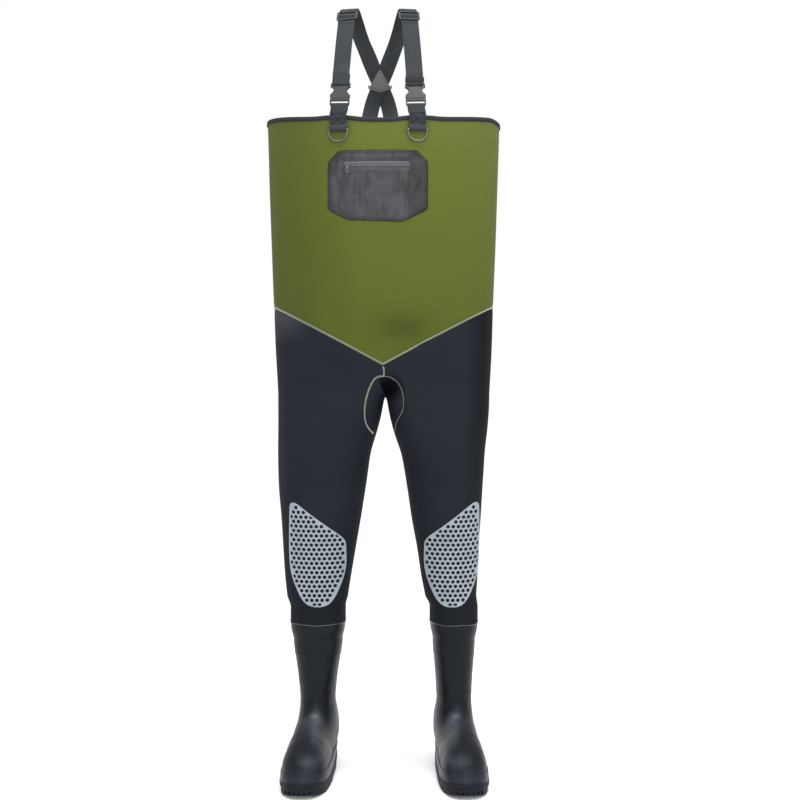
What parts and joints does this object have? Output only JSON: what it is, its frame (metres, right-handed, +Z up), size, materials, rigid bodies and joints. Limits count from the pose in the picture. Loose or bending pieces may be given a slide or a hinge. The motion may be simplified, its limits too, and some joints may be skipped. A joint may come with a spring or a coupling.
{
  "type": "chest waders",
  "caption": "Neoprene chest waders with a green bib, dark legs, printed knee pads, moulded rubber boots, a zipped chest pocket and crossed webbing braces.",
  "frame": {"origin": "middle of the box that holds the whole garment, on the floor under the soles", "axes": "+Z up, -Y the way the toes and the chest face, -X the wearer's right side"},
  "size_m": [0.5114, 0.3796, 1.6492],
  "materials": {
    "neoprene_green": "matt knitted face of green neoprene",
    "neoprene_black": "matt knitted face of black neoprene",
    "binding": "matt woven tape",
    "pocket_fabric": "coated nylon with a soft sheen",
    "zip_strip": "satin welded strip",
    "zip_metal": "dark nickel",
    "knee_print": "matt bonded pad",
    "webbing": "matt woven polypropylene",
    "buckle_plastic": "satin moulded acetal",
    "ring_metal": "polished nickel",
    "patch": "matt moulded patch",
    "boot_rubber": "satin moulded rubber",
    "tread_rubber": "matt moulded rubber",
    "insole_felt": "matt felt"
  },
  "bodies": {
    "garment": {"bib": "neoprene_green", "rim_binding": "binding", "leg_right": "neoprene_black", "leg_left": "neoprene_black", "gusset": "neoprene_black", "pocket": "pocket_fabric", "zip_tape": "zip_strip", "zip_slider": "zip_metal", "knee_pad_right": "knee_print", "front_tab_right": "webbing", "strap_right": "webbing", "buckle_socket_right": "buckle_plastic", "buckle_plug_right": "buckle_plastic", "strap_slider_right": "buckle_plastic", "knee_pad_left": "knee_print", "front_tab_left": "webbing", "strap_left": "webbing", "buckle_socket_left": "buckle_plastic", "buckle_plug_left": "buckle_plastic", "strap_slider_left": "buckle_plastic", "back_patch": "patch", "boot_upper_right": "boot_rubber", "outsole_right": "tread_rubber", "insole_right": "insole_felt", "boot_upper_left": "boot_rubber", "outsole_left": "tread_rubber", "insole_left": "insole_felt"},
    "ring_right": {"d_ring_right": "ring_metal"},
    "ring_left": {"d_ring_left": "ring_metal"},
    "pull": {"zip_pull": "zip_metal"}
  },
  "joints": [
    {"name": "ring_right_swing", "type": "hinge", "parent": "garment", "child": "ring_right", "pos_m": [-0.0928, -0.11681, 1.36956], "axis": [-0.9782, 0.2076, -0.0033], "range_deg": [0, 150]},
    {"name": "ring_left_swing", "type": "hinge", "parent": "garment", "child": "ring_left", "pos_m": [0.07272, -0.12076, 1.36957], "axis": [-0.9927, -0.1209, 0.0021], "range_deg": [0, 150]},
    {"name": "pull_swing", "type": "hinge", "parent": "garment", "child": "pull", "pos_m": [-0.07347, -0.12696, 1.297], "axis": [-0.9948, 0.1018, 0], "range_deg": [0, 150]}
  ]
}
